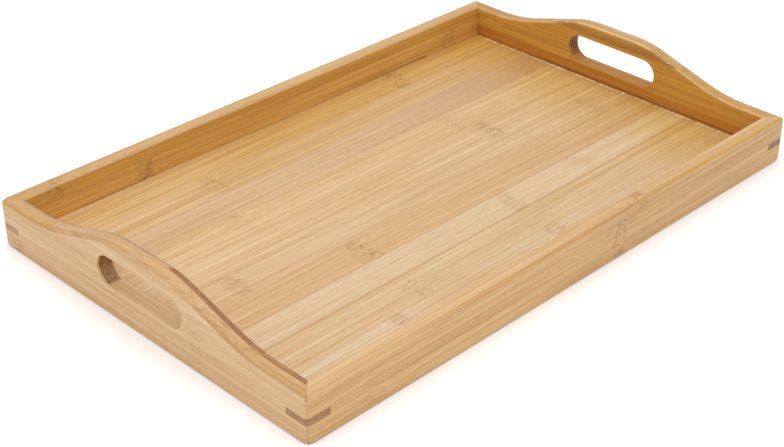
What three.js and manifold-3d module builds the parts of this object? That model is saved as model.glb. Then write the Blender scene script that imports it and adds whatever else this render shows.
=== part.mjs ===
// Bamboo serving tray: a mitred frame of laminated boards, two raised ends with hand
// slots, a floor of edge-glued strips held in grooves, and a dark key across each corner.
// Millimetres. X runs from handle to handle, Y runs across the tray and Z points up.
// The origin is the middle of the footprint, on the surface that the tray stands on.

import * as THREE from 'three';
import { mergeVertices, toCreasedNormals } from 'three/addons/utils/BufferGeometryUtils.js';
import Module from 'manifold-3d';

const wasm = await Module();
wasm.setup();

// Frame
const trayLength = 500;
const trayWidth = 324;
const sideHeight = 37.5;
const handleHeight = 60;
const wall = 12.7;
const edgeRadius = 2.5;
const cornerRadius = 2.5;

// Raised part of each end: a level grip, two shoulders, two slopes and two hollow feet
const humpLength = 256;
const gripLength = 40;
const shoulderRadius = 85;
const footRadius = 140;

// Hand slot, with full round ends
const slotLength = 90;
const slotHeight = 24;
const slotCentreHeight = 35;

// Floor panel: each strip is rebated along the edge that meets the frame
const floorTop = 11.4;
const floorThickness = 7;
const tongueThickness = 4;
const tongueDepth = 5;
const stripCount = 11;
const frontStripShare = 0.3; // the front strip is ripped to this share of a full one

// Lamellae: height of the lowest one in each board, and the width of the ones above it
const lamellaWidth = 28;
const leftLowestLamella = 12;
const rightLowestLamella = 21.5;
const frontLowestLamella = 30;
const backLowestLamella = 27;

// Corner keys: flat triangles let into a saw cut across each mitre
const keyLeg = 19;
const keyThickness = 5.4;
const keyCentreHeight = 17.3;

// Clearances
const sawGap = 0.3; // across a mitre, around a key and around the floor's tongue
const glueLine = 0.1; // between two floor strips or two lamellae

// How far a cutting solid reaches past what it cuts
const overrun = 10;

// Facets that meet at less than this angle are shaded as one smooth surface
const creaseAngle = Math.PI / 6;

const innerLength = trayLength - 2 * wall;
const innerWidth = trayWidth - 2 * wall;
const stripWidth = innerWidth / (stripCount - 1 + frontStripShare);
const tongueTop = floorTop - floorThickness + tongueThickness;

// ---- Geometry to solid and back ----

function toSolid(geometry) {
  geometry.deleteAttribute('normal');
  geometry.deleteAttribute('uv');
  const merged = mergeVertices(geometry);
  return new wasm.Manifold(new wasm.Mesh({
    numProp: 3,
    vertProperties: new Float32Array(merged.attributes.position.array),
    triVerts: new Uint32Array(merged.index.array),
  }));
}

function toGeometry(solid) {
  const { vertProperties, triVerts } = solid.getMesh();
  const geometry = new THREE.BufferGeometry();
  geometry.setAttribute('position', new THREE.BufferAttribute(vertProperties, 3));
  geometry.setIndex(new THREE.BufferAttribute(triVerts, 1));
  return toCreasedNormals(geometry, creaseAngle);
}

function box([x0, x1], [y0, y1], [z0, z1]) {
  const geometry = new THREE.BoxGeometry(x1 - x0, y1 - y0, z1 - z0);
  geometry.translate((x0 + x1) / 2, (y0 + y1) / 2, (z0 + z1) / 2);
  return toSolid(geometry);
}

// An upright prism on a plan outline
function prism(outline, bottom, top) {
  const geometry = new THREE.ExtrudeGeometry(outline, {
    depth: top - bottom,
    bevelEnabled: false,
    curveSegments: 3,
  });
  geometry.translate(0, 0, bottom);
  return geometry;
}

function bamboo(color, roughness = 0.45) {
  return new THREE.MeshStandardMaterial({ color, roughness, metalness: 0 });
}

function piece(name, geometry, material) {
  const mesh = new THREE.Mesh(geometry, material);
  mesh.name = name;
  return mesh;
}

// ---- Elevations: x along the board, y up ----

// The hollow foot and the round shoulder are joined by a straight slope that touches both.
// Where the rise is too steep for the two radii, they shrink together until it fits.
function humpCurve() {
  const foot = humpLength / 2;
  const grip = gripLength / 2;
  const run = foot - grip;
  const rise = handleHeight - sideHeight;
  const reach = run * run + rise * rise;
  const easing = Math.min(1, reach / (2 * rise * (footRadius + shoulderRadius)));
  const footArc = footRadius * easing;
  const shoulderArc = shoulderRadius * easing;
  const radii = footArc + shoulderArc;
  const straight = Math.sqrt(Math.max(0, reach - 2 * rise * radii));
  const slope = Math.atan2(rise - radii, run) + Math.PI / 2 - Math.atan2(straight, radii);
  return { foot, grip, footArc, shoulderArc, slope };
}

function endOutline() {
  const { foot, grip, footArc, shoulderArc, slope } = humpCurve();
  const end = trayWidth / 2 + overrun;
  const up = Math.PI / 2;
  const outline = new THREE.Shape();
  outline.moveTo(-end, 0);
  outline.lineTo(end, 0);
  outline.lineTo(end, sideHeight);
  outline.absarc(foot, sideHeight + footArc, footArc, -up, -up - slope, true);
  outline.absarc(grip, handleHeight - shoulderArc, shoulderArc, up - slope, up, false);
  outline.absarc(-grip, handleHeight - shoulderArc, shoulderArc, up, up + slope, false);
  outline.absarc(-foot, sideHeight + footArc, footArc, -up + slope, -up, true);
  outline.lineTo(-end, sideHeight);
  outline.closePath();
  outline.holes.push(slotOutline());
  return outline;
}

function slotOutline() {
  const radius = slotHeight / 2;
  const half = slotLength / 2 - radius;
  const outline = new THREE.Path();
  outline.absarc(half, slotCentreHeight, radius, -Math.PI / 2, Math.PI / 2, false);
  outline.absarc(-half, slotCentreHeight, radius, Math.PI / 2, 1.5 * Math.PI, false);
  outline.closePath();
  return outline;
}

function sideOutline() {
  const end = trayLength / 2 + overrun;
  const outline = new THREE.Shape();
  outline.moveTo(-end, 0);
  outline.lineTo(end, 0);
  outline.lineTo(end, sideHeight);
  outline.lineTo(-end, sideHeight);
  outline.closePath();
  return outline;
}

// ---- Frame boards: along X, outer face towards -Y, thickness centred on y = 0 ----

// A blank with every long edge, and the rim of the slot, rounded over
function blank(outline) {
  const geometry = new THREE.ExtrudeGeometry(outline, {
    depth: wall - 2 * edgeRadius,
    bevelThickness: edgeRadius,
    bevelSize: edgeRadius,
    bevelOffset: -edgeRadius,
    bevelSegments: 3,
    curveSegments: 8,
  });
  geometry.translate(0, 0, edgeRadius - wall / 2);
  geometry.rotateX(Math.PI / 2);
  return toSolid(geometry);
}

// The plan of a board between its two mitres, which leave half the saw gap each
function mitrePlan(length) {
  const outerEnd = (length - sawGap * Math.SQRT2) / 2 + overrun;
  const innerEnd = outerEnd - wall - 2 * overrun;
  const face = wall / 2 + overrun;
  const outline = new THREE.Shape();
  outline.moveTo(-outerEnd, -face);
  outline.lineTo(outerEnd, -face);
  outline.lineTo(innerEnd, face);
  outline.lineTo(-innerEnd, face);
  outline.closePath();
  return outline;
}

// The plan of the whole frame near one board, with its two outer corners rounded
function cornerPlan(length) {
  const end = length / 2;
  const face = -wall / 2;
  const depth = wall / 2 + overrun;
  const outline = new THREE.Shape();
  outline.moveTo(-end, depth);
  outline.lineTo(-end, face + cornerRadius);
  outline.absarc(cornerRadius - end, face + cornerRadius, cornerRadius, Math.PI, 1.5 * Math.PI, false);
  outline.absarc(end - cornerRadius, face + cornerRadius, cornerRadius, -Math.PI / 2, 0, false);
  outline.lineTo(end, depth);
  outline.closePath();
  return outline;
}

function grooveSolid(length) {
  const bottom = tongueTop - tongueThickness - sawGap;
  const deepest = wall / 2 - tongueDepth - sawGap;
  return box([-length / 2, length / 2], [deepest, wall / 2 + overrun], [bottom, tongueTop + sawGap]);
}

// The saw cut for the key at one end of a board: side is -1 or 1
function keySlot(length, side) {
  const leg = keyLeg + sawGap * Math.SQRT2 + overrun;
  const half = keyThickness / 2 + sawGap;
  const outline = new THREE.Shape();
  outline.moveTo(-overrun, -overrun);
  outline.lineTo(leg, -overrun);
  outline.lineTo(-overrun, leg);
  outline.closePath();
  const geometry = prism(outline, keyCentreHeight - half, keyCentreHeight + half);
  if (side > 0) geometry.rotateZ(Math.PI / 2);
  geometry.translate(side * length / 2, -wall / 2, 0);
  return toSolid(geometry);
}

// A whole board cut level into lamellae, lowest first
function frameBoard(name, length, outline, joints, layerNames, color) {
  const tall = handleHeight + overrun;
  const board = blank(outline)
    .intersect(toSolid(prism(mitrePlan(length), -overrun, tall)))
    .intersect(toSolid(prism(cornerPlan(length), -overrun, tall)))
    .subtract(grooveSolid(length))
    .subtract(keySlot(length, -1))
    .subtract(keySlot(length, 1));
  const levels = [-overrun, ...joints, tall];
  const group = new THREE.Group();
  layerNames.forEach((layer, i) => {
    const span = [levels[i] + glueLine / 2, levels[i + 1] - glueLine / 2];
    const slab = box([-length, length], [-wall, wall], span);
    group.add(piece(`${name}_${layer}`, toGeometry(board.intersect(slab)), bamboo(color)));
  });
  return group;
}

function place(object, x, y, turn) {
  object.position.set(x, y, 0);
  object.rotation.z = turn;
  return object;
}

function frameBoards() {
  const endX = (trayLength - wall) / 2;
  const sideY = (trayWidth - wall) / 2;
  const quarter = Math.PI / 2;
  const leftJoints = [leftLowestLamella, leftLowestLamella + lamellaWidth];
  const rightJoints = [rightLowestLamella, rightLowestLamella + lamellaWidth];
  const endLayers = ['lower', 'middle', 'upper'];
  const sideLayers = ['lower', 'upper'];
  const left = frameBoard('left_end', trayWidth, endOutline(), leftJoints, endLayers, 0xd6b488);
  const right = frameBoard('right_end', trayWidth, endOutline(), rightJoints, endLayers, 0xd2aa74);
  const front = frameBoard(
    'front_side', trayLength, sideOutline(), [frontLowestLamella], sideLayers, 0xd4b082);
  const back = frameBoard(
    'back_side', trayLength, sideOutline(), [backLowestLamella], sideLayers, 0xd2aa72);
  return [
    place(left, -endX, 0, -quarter),
    place(right, endX, 0, quarter),
    place(front, 0, -sideY, 0),
    place(back, 0, sideY, 2 * quarter),
  ];
}

// ---- Corner keys: corner at the origin, legs along +X and +Y ----

function cornerKey(name) {
  const outline = new THREE.Shape();
  outline.moveTo(keyLeg, 0);
  outline.lineTo(0, keyLeg);
  outline.absarc(cornerRadius, cornerRadius, cornerRadius, Math.PI, 1.5 * Math.PI, false);
  outline.closePath();
  const bottom = keyCentreHeight - keyThickness / 2;
  return piece(name, prism(outline, bottom, bottom + keyThickness), bamboo(0x9c6c40, 0.5));
}

function cornerKeys() {
  const corners = [
    ['front_left', -1, -1],
    ['front_right', 1, -1],
    ['back_right', 1, 1],
    ['back_left', -1, 1],
  ];
  return corners.map(([corner, x, y], i) => place(
    cornerKey(`corner_key_${corner}`), x * trayLength / 2, y * trayWidth / 2, i * Math.PI / 2));
}

// ---- Floor strips, back to front ----

const stripColors = [
  0xd8ae71, 0xdbb27d, 0xd9b48a, 0xdfba88, 0xe0be8f, 0xdcbb90,
  0xd8b286, 0xe3cba6, 0xdebe92, 0xe0c49a, 0xd9b88a,
];

function floorStrip(index) {
  const isBack = index === 0;
  const isFront = index === stripCount - 1;
  const backEdge = innerWidth / 2 - index * stripWidth;
  const frontEdge = isFront ? -innerWidth / 2 : backEdge - stripWidth;
  const topSpan = [
    frontEdge + (isFront ? sawGap : glueLine / 2),
    backEdge - (isBack ? sawGap : glueLine / 2),
  ];
  const tongueSpan = [
    frontEdge + (isFront ? -tongueDepth : glueLine / 2),
    backEdge - (isBack ? -tongueDepth : glueLine / 2),
  ];
  const topEnd = innerLength / 2 - sawGap;
  const tongueEnd = innerLength / 2 + tongueDepth;
  const top = box([-topEnd, topEnd], topSpan, [tongueTop, floorTop]);
  const tongue = box([-tongueEnd, tongueEnd], tongueSpan, [tongueTop - tongueThickness, tongueTop]);
  const number = String(index + 1).padStart(2, '0');
  return piece(`floor_strip_${number}`, toGeometry(top.add(tongue)), bamboo(stripColors[index]));
}

const tray = new THREE.Group();
tray.add(...frameBoards(), ...cornerKeys());
for (let index = 0; index < stripCount; index += 1) {
  tray.add(floorStrip(index));
}

export default tray;
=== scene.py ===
from math import atan2, cos, pi, radians, sin, sqrt

import bmesh
import bpy
from mathutils import Matrix, Vector


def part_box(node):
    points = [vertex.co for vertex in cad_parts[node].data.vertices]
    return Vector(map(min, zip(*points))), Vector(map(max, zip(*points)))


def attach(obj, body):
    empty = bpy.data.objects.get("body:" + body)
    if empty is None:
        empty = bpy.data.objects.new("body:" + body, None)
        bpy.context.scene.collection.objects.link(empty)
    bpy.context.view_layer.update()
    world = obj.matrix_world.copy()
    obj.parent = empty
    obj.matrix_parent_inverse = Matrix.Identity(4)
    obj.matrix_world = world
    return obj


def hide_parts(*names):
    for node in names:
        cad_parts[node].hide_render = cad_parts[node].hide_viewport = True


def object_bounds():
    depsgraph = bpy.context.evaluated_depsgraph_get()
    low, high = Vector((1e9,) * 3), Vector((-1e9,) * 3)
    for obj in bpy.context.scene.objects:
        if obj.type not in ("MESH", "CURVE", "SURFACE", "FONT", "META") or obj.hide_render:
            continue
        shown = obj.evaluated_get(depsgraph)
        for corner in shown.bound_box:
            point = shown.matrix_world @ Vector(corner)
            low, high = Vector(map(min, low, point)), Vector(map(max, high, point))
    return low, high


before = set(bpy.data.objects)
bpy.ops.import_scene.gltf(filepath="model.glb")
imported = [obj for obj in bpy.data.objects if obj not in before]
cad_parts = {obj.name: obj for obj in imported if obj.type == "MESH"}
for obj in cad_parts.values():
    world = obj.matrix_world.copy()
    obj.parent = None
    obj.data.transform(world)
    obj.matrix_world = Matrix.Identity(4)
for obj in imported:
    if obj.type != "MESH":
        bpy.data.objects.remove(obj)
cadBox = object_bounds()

# Bamboo serving tray. Metres. X runs from handle to handle, Z is up.
# Every board is modelled lying along X with its outer face towards -Y, then turned into place.

tiny = 0.00005
justUnder = 0.9999  # keeps a full round end from closing on itself
spare = 0.01  # how far a blank or a cutter runs past the finished shape
smoothAngle = radians(38)  # facets that meet at less are shaded as one surface


def boxSize(node):
    low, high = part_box(node)
    return high - low


trayLength = cadBox[1][0] - cadBox[0][0]
trayWidth = cadBox[1][1] - cadBox[0][1]
handleHeight = cadBox[1][2]
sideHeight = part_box("front_side_upper")[1].z
wall = boxSize("front_side_lower").y
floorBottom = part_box("floor_strip_01")[0].z


def onlyThis(piece):
    if bpy.context.mode != "OBJECT":
        bpy.ops.object.mode_set(mode="OBJECT")
    bpy.ops.object.select_all(action="DESELECT")
    piece.select_set(True)
    bpy.context.view_layer.objects.active = piece


def editing(piece):
    onlyThis(piece)
    bpy.ops.object.mode_set(mode="EDIT")


def done(piece):
    bpy.ops.object.mode_set(mode="OBJECT")
    return piece


def pick(piece, kind, test):  # selects each edge or face whose corners all pass the test
    bpy.ops.mesh.select_mode(type=kind)
    bpy.ops.mesh.select_all(action="DESELECT")
    mesh = bmesh.from_edit_mesh(piece.data)
    for part in mesh.edges if kind == "EDGE" else mesh.faces:
        if all(test(corner.co) for corner in part.verts):
            part.select_set(True)
    bmesh.update_edit_mesh(piece.data)


def cut(at, normal, keep=False):  # keep leaves both halves, joined
    bpy.ops.mesh.select_all(action="SELECT")
    bpy.ops.mesh.bisect(
        plane_co=at, plane_no=normal, use_fill=not keep, clear_outer=not keep, threshold=tiny / 50)


def bevel(width, segments):
    bpy.ops.mesh.bevel(offset=width, segments=segments, profile=0.5, affect="EDGES", clamp_overlap=True)


def push(offset):
    bpy.ops.mesh.extrude_region_move(TRANSFORM_OT_translate={"value": offset})


def block(name, low, high):
    bpy.ops.object.select_all(action="DESELECT")
    middle = [(a + b) / 2 for a, b in zip(low, high)]
    size = [b - a for a, b in zip(low, high)]
    bpy.ops.mesh.primitive_cube_add(size=1, location=middle, scale=size)
    piece = bpy.context.active_object
    piece.name = name
    bpy.ops.object.transform_apply(location=True, rotation=True, scale=True)
    return piece


def carve(piece, cutter):
    modifier = piece.modifiers.new("carve", "BOOLEAN")
    modifier.operation = "DIFFERENCE"
    modifier.solver = "EXACT"
    modifier.object = cutter
    onlyThis(piece)
    bpy.ops.object.modifier_apply(modifier=modifier.name)
    bpy.data.objects.remove(cutter)


def copyOf(piece, name):
    twin = piece.copy()
    twin.data = piece.data.copy()
    twin.name = name
    bpy.context.scene.collection.objects.link(twin)
    return twin


def turnAndPlace(piece, x, y, turn):
    onlyThis(piece)
    piece.rotation_euler = (0, 0, turn)
    piece.location = (x, y, 0)
    bpy.ops.object.transform_apply(location=True, rotation=True, scale=True)


def finishSurface(piece):
    onlyThis(piece)
    bpy.ops.object.shade_smooth_by_angle(angle=smoothAngle)
    modifier = piece.modifiers.new("even normals", "WEIGHTED_NORMAL")
    modifier.keep_sharp = True
    bpy.ops.object.modifier_apply(modifier=modifier.name)


# Frame boards. The top of each end runs along hollow feet, round shoulders and a level grip.
endBoard = {
    "humpLength": 0.256,
    "gripLength": 0.040,
    "shoulderRadius": 0.085,
    "footRadius": 0.140,
    "arcSteps": 12,
    "slotLength": 0.090,
    "slotHeight": 0.024,
    "slotCentre": 0.035,
    "slotSteps": 20,
}


def humpMoves():  # the path of an end board's top, as arcs (centre x, centre z, turn) and lines
    foot = endBoard["humpLength"] / 2
    grip = endBoard["gripLength"] / 2
    footRadius = endBoard["footRadius"]
    shoulderRadius = endBoard["shoulderRadius"]
    run = foot - grip
    rise = handleHeight - sideHeight
    radii = footRadius + shoulderRadius
    straight = sqrt(run ** 2 + rise ** 2 - 2 * rise * radii)
    slope = atan2(rise - radii, run) + pi / 2 - atan2(straight, radii)
    level = trayWidth / 2 + spare - foot
    footCentre = sideHeight + footRadius
    shoulderCentre = handleHeight - shoulderRadius
    return foot, [
        ("arc", -foot, footCentre, slope),
        ("line", straight * cos(slope), straight * sin(slope)),
        ("arc", -grip, shoulderCentre, -slope),
        ("line", 2 * grip, 0),
        ("arc", grip, shoulderCentre, -slope),
        ("line", straight * cos(slope), -straight * sin(slope)),
        ("arc", foot, footCentre, slope),
        ("line", level, 0),
    ]


def endBlank(name):
    # a ribbon one wall wide is swept along the top, then pushed down and cut off level
    foot, moves = humpMoves()
    start = -trayWidth / 2 - spare
    bpy.ops.object.select_all(action="DESELECT")
    bpy.ops.mesh.primitive_plane_add(size=1, location=((start - foot) / 2, 0, sideHeight))
    piece = bpy.context.active_object
    piece.name = name
    piece.scale = (-foot - start, wall, 1)
    bpy.ops.object.transform_apply(location=True, rotation=True, scale=True)
    editing(piece)
    for kind, *move in moves:
        reach = max(v.co.x for v in bmesh.from_edit_mesh(piece.data).verts)
        pick(piece, "EDGE", lambda p: p.x > reach - tiny)
        if kind == "arc":
            x, z, turn = move
            bpy.ops.mesh.spin(steps=endBoard["arcSteps"], angle=turn, center=(x, 0, z), axis=(0, 1, 0))
        else:
            push((move[0], 0, move[1]))
    bpy.ops.mesh.select_all(action="SELECT")
    bpy.ops.mesh.remove_doubles(threshold=tiny / 5)
    push((0, 0, -handleHeight - spare))
    cut((0, 0, 0), (0, 0, -1))
    bpy.ops.mesh.select_all(action="SELECT")
    bpy.ops.mesh.normals_make_consistent(inside=False)
    return done(piece)


def sideBlank(name):
    end = trayLength / 2 + spare
    return block(name, (-end, -wall / 2, 0), (end, wall / 2, sideHeight))


def cutSlot(piece):
    half = Vector((endBoard["slotLength"], 4 * wall, endBoard["slotHeight"])) / 2
    centre = Vector((0, 0, endBoard["slotCentre"]))
    cutter = block("slotCutter", centre - half, centre + half)
    editing(cutter)
    bpy.ops.mesh.select_mode(type="EDGE")
    bpy.ops.mesh.select_all(action="DESELECT")
    mesh = bmesh.from_edit_mesh(cutter.data)
    for edge in mesh.edges:
        if abs(edge.verts[0].co.y - edge.verts[1].co.y) > wall:  # the edges that run through the board
            edge.select_set(True)
    bmesh.update_edit_mesh(cutter.data)
    bevel(half.z * justUnder, endBoard["slotSteps"])
    done(cutter)
    carve(piece, cutter)


floorPanel = {
    "tongueThickness": 0.004,
    "fitGap": 0.0002,
    "grooveGap": 0.0003,
    "easedEdge": 0.00006,
    "easedSteps": 2,
    "closer": 0.00004,  # how much each strip takes of the glue line on each side
}


def cutGroove(piece):
    bottom = floorBottom - floorPanel["grooveGap"]
    top = floorBottom + floorPanel["tongueThickness"] + floorPanel["grooveGap"]
    tongueReach = boxSize("floor_strip_02").x / 2 - (trayLength / 2 - wall)
    cut((0, 0, bottom), (0, 0, 1), keep=True)
    cut((0, 0, top), (0, 0, 1), keep=True)
    pick(piece, "FACE", lambda p: p.y > wall / 2 - tiny and bottom - tiny < p.z < top + tiny)
    push((0, -tongueReach - floorPanel["grooveGap"], 0))


rounding = {
    "innerTop": 0.0020,
    "outerTopEnd": 0.0046,  # the handles are eased more for the hand
    "outerTopSide": 0.0024,
    "topSteps": 7,
    "bottom": 0.0014,
    "bottomSteps": 3,
    "slotRim": 0.0018,
    "corner": 0.0036,
    "cornerSteps": 6,  # flats between the face and the mitre
    "pointTurns": (20, 45),  # degrees of the flats that take the point off a corner
    "pointTilts": (25, 50),
}


def roundEdges(piece, outerTop):
    reachZ = endBoard["slotCentre"] + endBoard["slotHeight"] / 2 + tiny
    reachX = endBoard["slotLength"] / 2 + tiny
    lowest = endBoard["slotCentre"] - endBoard["slotHeight"] / 2 - tiny

    def onSlot(p):
        return abs(p.x) < reachX and lowest < p.z < reachZ

    def atFace(side, test):
        return lambda p: abs(p.y - side * wall / 2) < tiny and test(p)

    for side, topRadius in ((1, rounding["innerTop"]), (-1, outerTop)):
        pick(piece, "EDGE", atFace(side, lambda p: p.z > sideHeight - tiny and not onSlot(p)))
        bevel(topRadius, rounding["topSteps"])
        pick(piece, "EDGE", atFace(side, lambda p: p.z < tiny))
        bevel(rounding["bottom"], rounding["bottomSteps"])
    return atFace, onSlot


def roundSlot(piece, atFace, onSlot):
    for side in (1, -1):
        pick(piece, "EDGE", atFace(side, onSlot))
        bevel(rounding["slotRim"], rounding["topSteps"])


joints = {"mitreGap": 0.00012, "keyGap": 0.0001}


def cutMitres(length):
    end = length / 2 - joints["mitreGap"] / sqrt(2)
    for side in (-1, 1):
        cut((side * end, -wall / 2, 0), (side, 1, 0))


def roundCorner(end, face, side, steps):  # tangent cuts round an upright corner
    radius = rounding["corner"]
    centre = Vector((side * (end - radius), face + radius, 0))
    for step in steps:
        angle = pi / 4 * step / rounding["cornerSteps"]
        normal = Vector((side * sin(angle), -cos(angle), 0))
        cut(centre + radius * normal, normal)


def roundVertex(end, face, side, height, up):  # takes the point off an outer corner, top or bottom
    radius = rounding["corner"]
    centre = Vector((side * (end - radius), face + radius, height - up * radius))
    for turn in rounding["pointTurns"]:
        for tilt in rounding["pointTilts"]:
            flat = cos(radians(tilt))
            across = side * sin(radians(turn)) * flat
            outwards = -cos(radians(turn)) * flat
            normal = Vector((across, outwards, up * sin(radians(tilt))))
            cut(centre + radius * normal, normal)


def keyBlock(name, side, corner, leg, thickness, past):
    # a flat triangle in the corner at (side * corner.x, corner.y), its legs along both faces
    near = Vector((side * corner.x, corner.y - past, corner.z - thickness / 2))
    far = Vector((side * (corner.x - leg), corner.y + leg, corner.z + thickness / 2))
    near.x += side * past
    low = [min(a, b) for a, b in zip(near, far)]
    high = [max(a, b) for a, b in zip(near, far)]
    piece = block(name, low, high)
    editing(piece)
    cut((side * (corner.x - leg), corner.y, 0), (-side, 1, 0))
    return piece


keyHeight = (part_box("corner_key_front_left")[0].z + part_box("corner_key_front_left")[1].z) / 2
keyLeg = boxSize("corner_key_front_left").x
keyThickness = boxSize("corner_key_front_left").z


def cutKeySlots(piece, length):
    corner = Vector((length / 2, -wall / 2, keyHeight))
    leg = keyLeg + joints["keyGap"] * sqrt(2)
    for side in (-1, 1):
        cutter = keyBlock("keyCutter", side, corner, leg, keyThickness + 2 * joints["keyGap"], spare)
        done(cutter)
        carve(piece, cutter)


def wholeBoard(name, length, hasSlot):
    piece = endBlank(name) if hasSlot else sideBlank(name)
    if hasSlot:
        cutSlot(piece)
    editing(piece)
    atFace, onSlot = roundEdges(piece, rounding["outerTopEnd" if hasSlot else "outerTopSide"])
    if hasSlot:
        roundSlot(piece, atFace, onSlot)
    cutGroove(piece)
    cutMitres(length)
    for side in (-1, 1):
        roundCorner(length / 2, -wall / 2, side, range(1, rounding["cornerSteps"] + 1))
        roundVertex(length / 2, -wall / 2, side, sideHeight, 1)
        roundVertex(length / 2, -wall / 2, side, 0, -1)
    done(piece)
    cutKeySlots(piece, length)
    return piece


def lamellae(board, nodes, x, y, turn):  # cut level at the glue lines of the CAD nodes
    made = []
    for node in nodes:
        low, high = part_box(node)
        piece = copyOf(board, node.title().replace("_", ""))
        editing(piece)
        if node != nodes[0]:
            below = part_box(nodes[nodes.index(node) - 1])[1].z
            cut((0, 0, (low.z + below) / 2), (0, 0, -1))
        if node != nodes[-1]:
            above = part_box(nodes[nodes.index(node) + 1])[0].z
            cut((0, 0, (high.z + above) / 2), (0, 0, 1))
        done(piece)
        turnAndPlace(piece, x, y, turn)
        finishSurface(piece)
        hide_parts(node)
        made.append(piece)
    bpy.data.objects.remove(board)
    return made


def floorStrip(node):
    low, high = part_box(node)
    gap = floorPanel["fitGap"]
    inner = trayWidth / 2 - wall
    innerEnd = trayLength / 2 - wall - gap
    shoulder = floorBottom + floorPanel["tongueThickness"]
    snug = floorPanel["closer"]
    top = Vector((innerEnd, min(high.y + snug, inner - gap), high.z))
    foot = Vector((-innerEnd, max(low.y - snug, gap - inner), low.z))
    piece = block(node.title().replace("_", ""), foot, top)
    editing(piece)
    cut((0, 0, shoulder), (0, 0, 1), keep=True)
    for side in (-1, 1):  # the tongue at each end
        pick(piece, "FACE", lambda p: p.x * side > innerEnd - tiny and p.z < shoulder + tiny)
        push((side * (high.x - innerEnd), 0, 0))
    for edge, reach, side in ((top.y, high.y, 1), (foot.y, low.y, -1)):
        if abs(reach - edge) > gap:  # and along the edge of an outermost strip
            pick(piece, "FACE", lambda p: abs(p.y - edge) < tiny and p.z < shoulder + tiny)
            push((0, reach - edge, 0))
    pick(piece, "EDGE", lambda p: p.z > high.z - tiny)
    bevel(floorPanel["easedEdge"], floorPanel["easedSteps"])
    done(piece)
    finishSurface(piece)
    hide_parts(node)
    return piece


def cornerKey():  # modelled past the corner, then trimmed to its rounding
    corner = Vector((trayLength / 2, -trayWidth / 2, keyHeight))
    piece = keyBlock("CornerKey", -1, corner, keyLeg, keyThickness, spare)
    roundCorner(corner.x, corner.y, -1, range(2 * rounding["cornerSteps"] + 1))
    return done(piece)


# Materials. Lengths in them are in mm.
def tone(code, gains=(1, 1, 1)):  # a colour as red, green and blue in hex, made linear, each times its gain
    parts = [int(code[i:i + 2], 16) / 255 for i in (0, 2, 4)]
    return [gain * ((part + 0.055) / 1.055) ** 2.4 for gain, part in zip(gains, parts)] + [1]


def addNode(tree, kind, inputs=None, **settings):
    made = tree.nodes.new(kind)
    for key, value in settings.items():
        setattr(made, key, value)
    for key, value in (inputs or {}).items():
        if isinstance(value, bpy.types.NodeSocket):
            tree.links.new(value, made.inputs[key])
        else:
            made.inputs[key].default_value = value
    return made


def calc(tree, operation, *values):
    return addNode(tree, "ShaderNodeMath", dict(enumerate(values)), operation=operation).outputs[0]


def stretched(tree, where, lengths):  # one unit of the result is this many mm along, across, up
    scale = [1 / size for size in lengths]
    made = addNode(tree, "ShaderNodeVectorMath", {0: where, 1: scale}, operation="MULTIPLY")
    return made.outputs[0]


def noise(tree, where, lengths, detail=2.0, rough=0.5):
    inputs = {"Vector": stretched(tree, where, lengths), "Scale": 1.0, "Detail": detail, "Roughness": rough}
    return addNode(tree, "ShaderNodeTexNoise", inputs).outputs[0]


def ramp(tree, value, low, high, start=0.0, end=1.0, smooth=True):
    inputs = {"Value": value, "From Min": low, "From Max": high, "To Min": start, "To Max": end}
    kind = "SMOOTHSTEP" if smooth else "LINEAR"
    return addNode(tree, "ShaderNodeMapRange", inputs, interpolation_type=kind).outputs[0]


def mix(tree, amount, first, second, blend="MIX"):
    made = addNode(tree, "ShaderNodeMix", data_type="RGBA", blend_type=blend, clamp_factor=True)
    for socket, value in ((made.inputs[0], amount), (made.inputs[6], first), (made.inputs[7], second)):
        if isinstance(value, bpy.types.NodeSocket):
            tree.links.new(value, socket)
        else:
            socket.default_value = value
    return made.outputs[2]


def band(tree, value, low, high, soft):  # 1 between low and high, fading over soft on each side
    rising = ramp(tree, value, low - soft, low)
    falling = ramp(tree, value, high, high + soft, 1.0, 0.0)
    return calc(tree, "MULTIPLY", rising, falling)


def region(tree, axes, limits):  # 1 inside the limits, 0 well outside them
    amount = 1.0
    for axis in ("along", "across", "up"):
        if axis in limits:
            amount = calc(tree, "MULTIPLY", amount, band(tree, axes[axis], *limits[axis]))
    return amount


# What every piece of bamboo shares. A size is how long the pattern is along, across and up.
bamboo = {
    "grains": [
        {"size": (95, 0.5, 0.5), "detail": 2.0, "amount": 1.2},
        {"size": (140, 1.2, 1.2), "detail": 1.0, "amount": 1.6},
        {"size": (190, 2.8, 2.8), "detail": 1.0, "amount": 1.15},
        {"size": (260, 8, 8), "detail": 1.0, "amount": 1.0},
        {"size": (70, 24, 24), "detail": 2.0, "amount": 0.35},
    ],
    "broadFrom": 5,  # wider grain than this shows in colour only
    "lighter": (1.14, 1.19, 1.30),
    "darker": (0.90, 0.81, 0.66),
    "nextStem": (613.7, 91.3, 37.9),  # how far on each piece is cut from the last one
    "poreSize": (14, 0.42, 0.42),
    "poreFrom": (0.56, 0.70),  # a ramp over these values of its noise, as in every From below
    "poreColor": "8f6336",
    "poreAmount": 0.38,
    "poreDepth": 0.5,
    "poreRoughness": 0.08,
    "hueSize": (150, 4, 4),
    "hueFrom": (0.45, 0.68),
    "hueAmount": 0.45,
    "hueColor": "be935e",
    "roughness": 0.47,
    "paleRoughness": -0.12,
    "specular": 0.4,
    "coat": 0.1,
    "coatRoughness": 0.3,
    "bumpStrength": 0.4,
    "bumpDistance": 0.00012,
}

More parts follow.
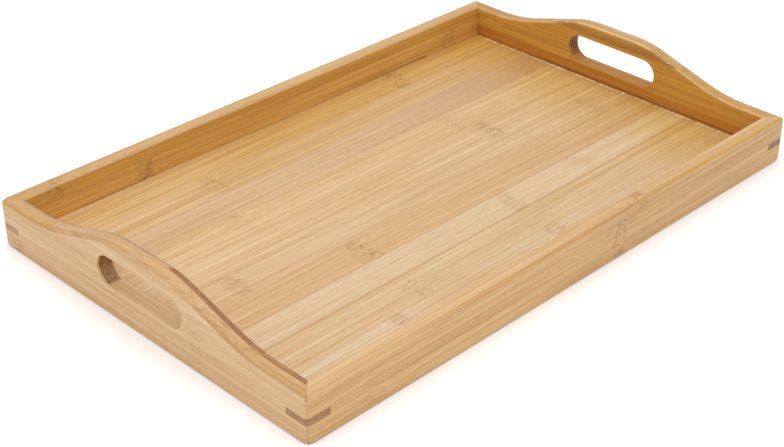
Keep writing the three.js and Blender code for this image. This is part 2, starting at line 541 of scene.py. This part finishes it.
# A knuckle is a ridge round the stem. Its curly marks lie on one side, towards the end of the tray.
knuckles = {
    "reach": 8.0,
    "soft": 6.0,
    "raggedSize": (9, 5, 5),
    "raggedAmount": 11.0,
    "wanderSize": (60, 14, 14),
    "wanderAmount": 12.0,
    "ridgeHalfWidth": (0.3, 1.3),
    "ridgeHeight": 0.5,
    "breakSize": (25, 6, 6),  # where the ridge comes and goes
    "breakFrom": (0.42, 0.60),
    "ridgeAmount": 0.6,
    "blotchSize": (10, 5.5, 5.5),
    "blotchFrom": (0.36, 0.56),
    "blotchLeast": 0.2,
    "fleckSize": (4.5, 1.7, 1.7),
    "darkFrom": (0.34, 0.50),
    "paleFrom": (0.54, 0.68),
    "swirlReach": (5.0, 30.0),
    "swirlSize": (11, 7, 7),
    "swirlAmount": 8.0,
    "ground": ("a67a47", 0.35),
    "pale": ("d9b684", 0.7),
    "line": ("7a4e24", 0.6),
}


def grained(tree, shade, code):
    return mix(tree, shade, tone(code, bamboo["darker"]), tone(code, bamboo["lighter"]))


def knuckleShapes(tree, stem, along, spots):  # the marked ground, the ridge, and where the fibres swirl
    ragged = noise(tree, stem, knuckles["raggedSize"], 2.0, 0.6)
    ragged = calc(tree, "MULTIPLY", ragged, knuckles["raggedAmount"])
    wander = calc(tree, "MULTIPLY", noise(tree, stem, knuckles["wanderSize"], 1.0), knuckles["wanderAmount"])
    middle = (knuckles["raggedAmount"] + knuckles["wanderAmount"]) / 2
    place = calc(tree, "ADD", calc(tree, "ADD", ragged, wander), calc(tree, "SUBTRACT", along, middle))
    ground, ridge, swirl = 0.0, 0.0, 0.0
    for spot, strength in spots:
        offset = calc(tree, "SUBTRACT", place, spot)
        distance = calc(tree, "ABSOLUTE", offset)
        reach = knuckles["reach"] * (1 if spot > 0 else -1)
        near = band(tree, offset, min(0, reach), max(0, reach), knuckles["soft"])
        ground = calc(tree, "MAXIMUM", ground, calc(tree, "MULTIPLY", near, strength))
        ridge = calc(tree, "MAXIMUM", ridge, ramp(tree, distance, *knuckles["ridgeHalfWidth"], strength, 0.0))
        swirl = calc(tree, "MAXIMUM", swirl, ramp(tree, distance, *knuckles["swirlReach"], strength, 0.0))
    blotch = noise(tree, stem, knuckles["blotchSize"], 2.0)
    blotch = ramp(tree, blotch, *knuckles["blotchFrom"], knuckles["blotchLeast"], 1.0)
    breaks = noise(tree, stem, knuckles["breakSize"], 1.0)
    breaks = ramp(tree, breaks, *knuckles["breakFrom"], 0.0, knuckles["ridgeAmount"])
    return calc(tree, "MULTIPLY", ground, blotch), calc(tree, "MULTIPLY", ridge, breaks), swirl


def swirled(tree, stem, swirl):  # the stem with its fibres pushed sideways
    swing = calc(tree, "SUBTRACT", noise(tree, stem, knuckles["swirlSize"], 2.0), 0.5)
    bend = calc(tree, "MULTIPLY", calc(tree, "MULTIPLY", swing, swirl), knuckles["swirlAmount"])
    sideways = addNode(tree, "ShaderNodeCombineXYZ", {0: 0.0, 1: bend, 2: bend}).outputs[0]
    return addNode(tree, "ShaderNodeVectorMath", {0: stem, 1: sideways}).outputs[0]


def withPatches(tree, color, shade, axes, patches):  # stains, borders and painted shade, ragged along the fibres
    for patch in patches:
        ragged = calc(tree, "MULTIPLY", calc(tree, "SUBTRACT", shade, 0.5), patch.get("ragged", 0.8))
        amount = calc(tree, "ADD", ragged, patch["amount"])
        amount = calc(tree, "MULTIPLY", region(tree, axes, patch), amount)
        if patch.get("tints"):
            color = mix(tree, amount, color, tone(patch["color"]), "MULTIPLY")
        else:
            color = mix(tree, amount, color, grained(tree, shade, patch["color"]))
    return color


def bambooMaterial(name, look):
    material = bpy.data.materials.new(name)
    material.use_nodes = True
    tree = material.node_tree
    tree.nodes.clear()
    place = addNode(tree, "ShaderNodeTexCoord").outputs["Object"]
    toBoard = {"Vector": place, "Scale": (1000, 1000, 1000), "Rotation": (0, 0, -look.get("turn", 0))}
    at = addNode(tree, "ShaderNodeMapping", toBoard).outputs[0]
    split = addNode(tree, "ShaderNodeSeparateXYZ", {0: at}).outputs
    axes = {"along": split[0], "across": split[1], "up": split[2]}
    further = [look["seed"] * step for step in bamboo["nextStem"]]
    stem = addNode(tree, "ShaderNodeVectorMath", {0: at, 1: further}).outputs[0]

    ground, ridge, swirl = knuckleShapes(tree, stem, axes["along"], look.get("knuckles", ()))
    for curl in look.get("curls", ()):
        curled = calc(tree, "MULTIPLY", region(tree, axes, curl), curl["amount"])
        swirl = calc(tree, "MAXIMUM", swirl, curled)
    fibre = swirled(tree, stem, swirl)

    # fibres, from fine to broad, then pores
    shade, height = 0.5, 0.0
    for grain in bamboo["grains"]:
        value = calc(tree, "SUBTRACT", noise(tree, fibre, grain["size"], grain["detail"], 0.6), 0.5)
        amount = grain["amount"] * look.get("contrast", 1)
        shade = calc(tree, "ADD", shade, calc(tree, "MULTIPLY", value, amount))
        if grain["size"][1] < bamboo["broadFrom"]:
            height = calc(tree, "ADD", height, value)
    color = grained(tree, shade, look["wood"])
    pore = ramp(tree, noise(tree, fibre, bamboo["poreSize"], 1.5, 0.5), *bamboo["poreFrom"])
    color = mix(tree, calc(tree, "MULTIPLY", pore, bamboo["poreAmount"]), color, tone(bamboo["poreColor"]))

    # a slow drift of hue along the stem
    hueAmount = look.get("hueAmount", bamboo["hueAmount"])
    hue = ramp(tree, noise(tree, fibre, bamboo["hueSize"], 1.0), *bamboo["hueFrom"], 0.0, hueAmount)
    color = mix(tree, hue, color, tone(look.get("hueColor", bamboo["hueColor"])))
    color = withPatches(tree, color, shade, axes, look.get("patches", ()))

    # brown and pale flecks at the knuckles, on a tan ground
    fleck = noise(tree, fibre, knuckles["fleckSize"], 3.0, 0.6)
    dark = calc(tree, "MULTIPLY", ramp(tree, fleck, *knuckles["darkFrom"], 1.0, 0.0), ground)
    pale = calc(tree, "MULTIPLY", ramp(tree, fleck, *knuckles["paleFrom"]), ground)
    line = calc(tree, "MAXIMUM", dark, ridge)
    for mark, kind in ((ground, "ground"), (pale, "pale"), (line, "line")):
        code, amount = knuckles[kind]
        color = mix(tree, calc(tree, "MULTIPLY", mark, amount), color, tone(code))

    paler = calc(tree, "MULTIPLY", calc(tree, "SUBTRACT", shade, 0.5), bamboo["paleRoughness"])
    rough = calc(tree, "ADD", bamboo["roughness"], paler)
    rough = calc(tree, "ADD", rough, calc(tree, "MULTIPLY", pore, bamboo["poreRoughness"]))
    height = calc(tree, "SUBTRACT", height, calc(tree, "MULTIPLY", pore, bamboo["poreDepth"]))
    height = calc(tree, "ADD", height, calc(tree, "MULTIPLY", line, knuckles["ridgeHeight"]))
    relief = {"Height": height, "Strength": bamboo["bumpStrength"], "Distance": bamboo["bumpDistance"]}
    shine = look.get("shine", 1)
    shader = addNode(tree, "ShaderNodeBsdfPrincipled", {
        "Base Color": color,
        "Roughness": rough,
        "Normal": addNode(tree, "ShaderNodeBump", relief).outputs[0],
        "Specular IOR Level": bamboo["specular"] * shine,
        "Coat Weight": bamboo["coat"] * shine,
        "Coat Roughness": bamboo["coatRoughness"],
    })
    output = addNode(tree, "ShaderNodeOutputMaterial")
    tree.links.new(shader.outputs[0], output.inputs[0])
    return material


def paint(piece, look):
    piece.data.materials.clear()
    piece.data.materials.append(bambooMaterial(piece.name, look))
    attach(piece, "root")


# A patch or curl lies within its limits along, across and up. The third number is how softly it ends.
# Each floor strip, back to front, is its own stem: its own colour, and knuckles at (place, strength).
# painted shade on the floor near the right wall, warmed like light bounced off that wall
rightEndShade = {
    "along": (222, 245, 85), "amount": 1.0, "color": "f9efc8", "ragged": 0, "tints": True,
}
rightGlueLine = {"along": (235.5, 237.6, 0.4), "amount": 0.5, "color": "e8cd9e", "ragged": 2.4}
stripLooks = [
    {"wood": "c09958", "knuckles": [(117, 0.9)],
     "patches": [{"along": (-240, -120, 120), "amount": 0.5, "color": "c9aa7c"}]},
    {"wood": "c09c69", "knuckles": [(-98, 0.5)],
     "patches": [{"along": (-240, -150, 90), "amount": 0.5, "color": "c9a97b"}]},
    {"wood": "bf9f77", "knuckles": [(210, 0.5)],
     "patches": [{"along": (150, 230, 130), "amount": 0.12, "color": "b08562", "ragged": 3.2}]},
    {"wood": "c5a578", "knuckles": [(-120, 0.3), (93, 0.4)]},
    {"wood": "c5a67b", "knuckles": [(107, 0.9)]},
    {"wood": "c3a57d", "knuckles": [(-177, 0.7), (197, 0.6)]},
    {"wood": "bf9c6e", "knuckles": [(-82, 1.0)]},
    {"wood": "c6ac88", "knuckles": [(33, 0.7), (117, 0.35)], "contrast": 0.55, "hueAmount": 0.15,
     "patches": [{"across": (-54.6, -53, 0.8), "amount": 0.5, "color": "a1763f"},
                 {"across": (-83, -81.2, 1.5), "amount": 0.6, "color": "aa8048"}]},
    {"wood": "c3a67b", "knuckles": [(-92, 0.45)]},
    {"wood": "c3a883", "knuckles": [(-125, 0.6), (28, 0.6), (217, 0.6)],
     "patches": [{"along": (-240, -150, 90), "amount": 0.5, "color": "cbb594"}]},
    {"wood": "c09f72", "knuckles": [(60, 0.5)]},
]

# The frame boards. Across is counted inwards, from minus half the tray at the outer face.
endInner = trayLength * 500 - wall * 1000  # how far the inner faces are from the middle
sideInner = trayWidth * 500 - wall * 1000
endTop = {
    "across": (-249.3, -238.9, 0.5), "up": (33, 62, 0.6),
    "amount": 0.55, "color": "a37944", "ragged": 1.1,
}
farTop = {
    "along": (-160, -110, 45), "across": (-248.8, -243.0, 1), "up": (30, 56, 1),
    "amount": 0.32, "color": "b08238", "ragged": 2.4,
}
# painted shade along the inner top edge of the left end, on the near slope, where the roundover turns away
# from the light
innerEdgeShade = {
    "along": (26, 200, 4), "across": (-endInner - 4.6, -endInner - 0.4, 0.3), "up": (36, 62, 1),
    "amount": 0.95, "color": "845426",
}
# painted shade, greyish, along the inner top edge of the left end, over the grip and far slope
greyEdgeShade = {
    "along": (-200, 22, 5), "across": (-endInner - 2.0, -endInner - 0.5, 0.3), "up": (36, 62, 1),
    "amount": 0.6, "color": "8c6c5c",
}
# painted shadow inside the far end of the left handle slot
slotEndShadow = {
    "along": (-46, -37, 3), "across": (-248, -238.8, 0.7), "up": (22, 48, 1),
    "amount": 0.85, "color": "7a5020", "ragged": 0.8,
}
# painted shadow inside the far end of the right handle slot
slotFarEndShadow = {
    "along": (37, 46, 4), "across": (-249, -238.6, 0.7), "up": (22, 48, 1),
    "amount": 0.8, "color": "74440f",
}
slotLip = {
    "along": (-40, 40, 4), "across": (-250.2, -248.2, 0.6), "up": (20, 25, 1),
    "amount": 0.4, "color": "8a6a4c",
}
# painted shade on the bottom of the right handle slot, warmed like light bounced off the floor
slotAmberShade = {
    "along": (-43, 42, 3), "across": (-247.5, -endInner - 0.4, 1.0), "up": (20.5, 26, 0.5),
    "amount": 0.9, "color": "b57c34",
}
darkBand = {
    "across": (-238.5, -230, 0.8), "up": (50, 56, 2.5),
    "amount": 0.45, "color": "93601f", "ragged": 1.5,
}
# painted shadow along the foot of the right end's inner face, where it meets the floor
endFootShadow = {
    "across": (-endInner - 0.5, -230, 0.4), "up": (8, 13.5, 1.5),
    "amount": 0.5, "color": "84501a", "ragged": 1.5,
}
# painted shade on the top face of the front board
frontTopShade = {"across": (-160, -148, 1.2), "up": (36.6, 39, 0.6), "amount": 0.7, "color": "bd9a6c"}
# painted shade that dims the highlight along the front's outer top edge
outerEdgeShade = {
    "along": (-260, 65, 10), "across": (-161.4, -160.2, 0.6), "up": (35.0, 39, 0.7),
    "amount": 0.9, "color": "f0eae0", "ragged": 0, "tints": True,
}
goldEdge = {
    "along": (85, 260, 12), "across": (-161.0, -158.7, 0.4), "up": (35.8, 39, 0.7),
    "amount": 0.85, "color": "bd9240",
}
frontDim = {
    "along": (60, 260, 80), "across": (-165, -158, 1),
    "amount": 1.0, "color": "f8f9f9", "ragged": 0, "tints": True,
}
# painted shadow along the foot of the back wall's inner face, where it meets the floor
wallFootShadow = {
    "across": (-sideInner - 0.5, -130, 0.4), "up": (8, 12.4, 0.5),
    "amount": 0.5, "color": "7b4c22", "ragged": 2,
}
# Each board's inner colour is painted shade, warmed like light bounced off the floor, for its faces inside
# the tray.
boardLooks = {
    "LeftEndLower": {"wood": "c6a073", "inner": "a66b22", "knuckles": [(-143, 0.6)]},
    "LeftEndMiddle": {"wood": "ccaa7b", "inner": "b98134", "knuckles": [(51, 0.3)],
                      "patches": [endTop, farTop, slotEndShadow, innerEdgeShade, greyEdgeShade]},
    "LeftEndUpper": {"wood": "d0af84", "inner": "b98134",
                     "patches": [endTop, slotEndShadow, innerEdgeShade, greyEdgeShade]},
    "RightEndLower": {"wood": "bd9460", "inner": "b6751e", "knuckles": [(-60, 0.4)], "contrast": 1.8,
                      "patches": [endFootShadow]},
    "RightEndMiddle": {"wood": "c6a06c", "inner": "c28d3b", "knuckles": [(130, 0.4)], "contrast": 1.3,
                       "shine": 0.3, "patches": [endTop, slotFarEndShadow, slotLip, slotAmberShade]},
    "RightEndUpper": {"wood": "c9a674", "inner": "c29244", "contrast": 1.4,
                      "patches": [endTop, slotFarEndShadow, darkBand]},
    "FrontSideLower": {"wood": "c69e68", "inner": "b07c36", "knuckles": [(43, 1.0), (-190, 0.3)],
                       "contrast": 1.4, "patches": [frontDim]},
    "FrontSideUpper": {"wood": "c8a06b", "inner": "b88a48", "knuckles": [(68, 0.9)], "contrast": 1.3,
                       "patches": [frontTopShade, outerEdgeShade, goldEdge, frontDim]},
    "BackSideLower": {"wood": "c49d69", "inner": "cd9b4e", "knuckles": [(128, 1.3), (-195, 1.2)],
                      "contrast": 1.3,
                      "patches": [dict(wallFootShadow, along=(146, 190, 6)),
                                  dict(wallFootShadow, along=(-168, -103, 6))]},
    "BackSideUpper": {"wood": "bb9560", "inner": "c2903f", "knuckles": [(208, 1.2)], "contrast": 1.3},
}
handleCurl = {"across": (-249, -239, 1), "up": (38, 62, 3), "amount": 0.5}

keyWoods = {"front_left": "9e7548", "front_right": "87603d", "back_right": "a1794d", "back_left": "b18b62"}
keyLook = {"hueColor": "8a5f38", "contrast": 1.3}


# Each board is built whole, then split at its glue lines.
endX = (trayLength - wall) / 2
sideY = (trayWidth - wall) / 2
boards = [
    ("left_end", trayWidth, True, ("lower", "middle", "upper"), -endX, 0, -pi / 2),
    ("right_end", trayWidth, True, ("lower", "middle", "upper"), endX, 0, pi / 2),
    ("front_side", trayLength, False, ("lower", "upper"), 0, -sideY, 0),
    ("back_side", trayLength, False, ("lower", "upper"), 0, sideY, pi),
]
seed = 1
for boardName, boardLength, hasSlot, layers, x, y, turn in boards:
    board = wholeBoard(boardName + "Blank", boardLength, hasSlot)
    nodes = [f"{boardName}_{layer}" for layer in layers]
    inner = endInner if hasSlot else sideInner
    for piece in lamellae(board, nodes, x, y, turn):
        look = dict(boardLooks[piece.name], turn=turn, seed=seed)
        # painted shade and warm bounce light over the faces inside the tray, in the board's inner colour
        inside = {
            "across": (-inner - 0.1, 20 - inner, 0.3), "amount": 0.95, "color": look["inner"], "ragged": 0.2,
        }
        look["patches"] = [inside] + look.get("patches", [])
        if hasSlot:
            look["curls"] = [handleCurl]
        paint(piece, look)
        seed += 1
    print("board done:", boardName, "in", len(layers), "lamellae")

keyBlank = cornerKey()
corners = (("front_left", 0), ("front_right", 1), ("back_right", 2), ("back_left", 3))
onX, onY = trayLength / 2, trayWidth / 2
for cornerName, quarter in corners:
    piece = copyOf(keyBlank, "CornerKey" + cornerName.title().replace("_", ""))
    onlyThis(piece)
    piece.location = (onX, onY, 0)
    bpy.ops.object.transform_apply(location=True, rotation=True, scale=True)
    cornerX, cornerY = ((-onX, -onY), (onX, -onY), (onX, onY), (-onX, onY))[quarter]
    turnAndPlace(piece, cornerX, cornerY, quarter * pi / 2)
    finishSurface(piece)
    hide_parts("corner_key_" + cornerName)
    paint(piece, dict(keyLook, wood=keyWoods[cornerName], turn=quarter * pi / 2, seed=seed))
    seed += 1
bpy.data.objects.remove(keyBlank)
print("corner keys done:", len(corners))

for index, stripLook in enumerate(stripLooks):
    piece = floorStrip(f"floor_strip_{index + 1:02d}")
    patches = stripLook.get("patches", []) + [rightEndShade, rightGlueLine]
    paint(piece, dict(stripLook, patches=patches, seed=seed))
    seed += 1
print("floor strips done:", len(stripLooks))

view = {
    "place": (-0.7303, -0.7207, 0.6037),
    "heading": 0.7918,  # from +X towards +Y, in radians
    "down": 0.5470,
    "roll": -0.0045,
    "lens": 72.45,
    "sensor": 36,
}
level = cos(view["down"])
aim = Vector((cos(view["heading"]) * level, sin(view["heading"]) * level, -sin(view["down"])))
camera = bpy.data.objects.new("Camera", bpy.data.cameras.new("Camera"))
camera.data.lens = view["lens"]
camera.data.sensor_width = view["sensor"]
turned = aim.to_track_quat("-Z", "Y").to_matrix() @ Matrix.Rotation(view["roll"], 3, "Z")
camera.matrix_world = Matrix.LocRotScale(Vector(view["place"]), turned.to_quaternion(), None)
bpy.context.scene.collection.objects.link(camera)
bpy.context.scene.camera = camera

light = {"size": 1.7, "place": (-0.25, -0.2, 1.4), "power": 15, "sky": 0.84}
softbox = bpy.data.objects.new("Softbox", bpy.data.lights.new("Softbox", "AREA"))
softbox.data.shape = "SQUARE"
softbox.data.size = light["size"]
softbox.data.energy = light["power"]
softbox.location = light["place"]
bpy.context.scene.collection.objects.link(softbox)

world = bpy.data.worlds.new("World")
bpy.context.scene.world = world
world.use_nodes = True
sky = world.node_tree.nodes["Background"].inputs
sky["Color"].default_value = (1, 1, 1, 1)
sky["Strength"].default_value = light["sky"]
bpy.context.scene.view_settings.view_transform = "Standard"

table = {"size": 8, "below": 0.0001, "color": (0.95, 0.95, 0.95, 1), "roughness": 0.8}
bpy.ops.object.select_all(action="DESELECT")
bpy.ops.mesh.primitive_plane_add(size=table["size"], location=(0, 0, -table["below"]))
ground = bpy.context.active_object
ground.name = "Ground"
ground.data.materials.append(bpy.data.materials.new("Ground"))
ground.data.materials[0].use_nodes = True
groundShader = ground.data.materials[0].node_tree.nodes["Principled BSDF"].inputs
groundShader["Base Color"].default_value = table["color"]
groundShader["Roughness"].default_value = table["roughness"]
print("camera, light and ground done")
